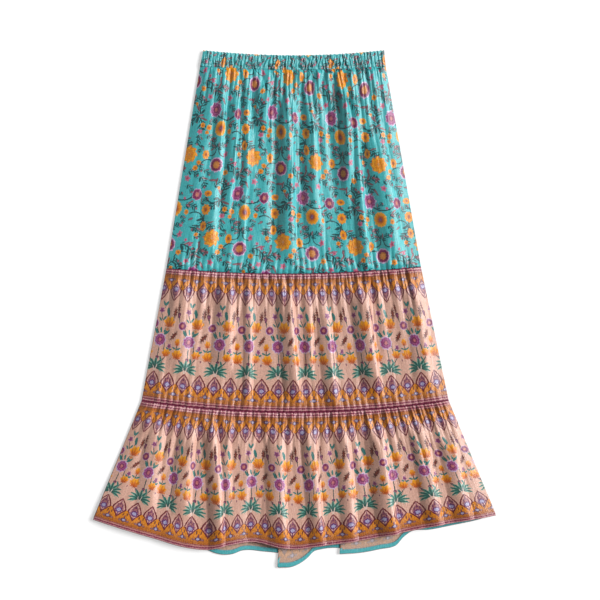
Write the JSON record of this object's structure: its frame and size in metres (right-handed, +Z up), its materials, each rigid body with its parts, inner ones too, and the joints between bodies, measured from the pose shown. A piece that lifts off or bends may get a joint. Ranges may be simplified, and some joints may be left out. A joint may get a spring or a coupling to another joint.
{
  "type": "maxi skirt",
  "caption": "Long tiered skirt laid flat: shirred elastic waistband over gathered tiers of printed viscose.",
  "frame": {"origin": "middle of the laid skirt's footprint, on the surface it lies on", "axes": "+Y towards the waist, +X across the skirt to the right as seen from above, +Z up from the surface"},
  "size_m": [0.742, 0.9535, 0.0174],
  "materials": {
    "teal_floral": "printed viscose, soft sheen",
    "border_print": "printed viscose, soft sheen",
    "turned_up_hem": "printed viscose, soft sheen"
  },
  "bodies": {
    "root": {"waistband_front": "teal_floral", "waistband_back": "teal_floral", "tier1_front": "teal_floral", "tier1_back": "teal_floral", "tier2_front": "border_print", "tier2_back": "border_print", "tier3_front": "border_print", "tier3_back": "border_print", "hem_turnup_back": "turned_up_hem"}
  },
  "joints": []
}
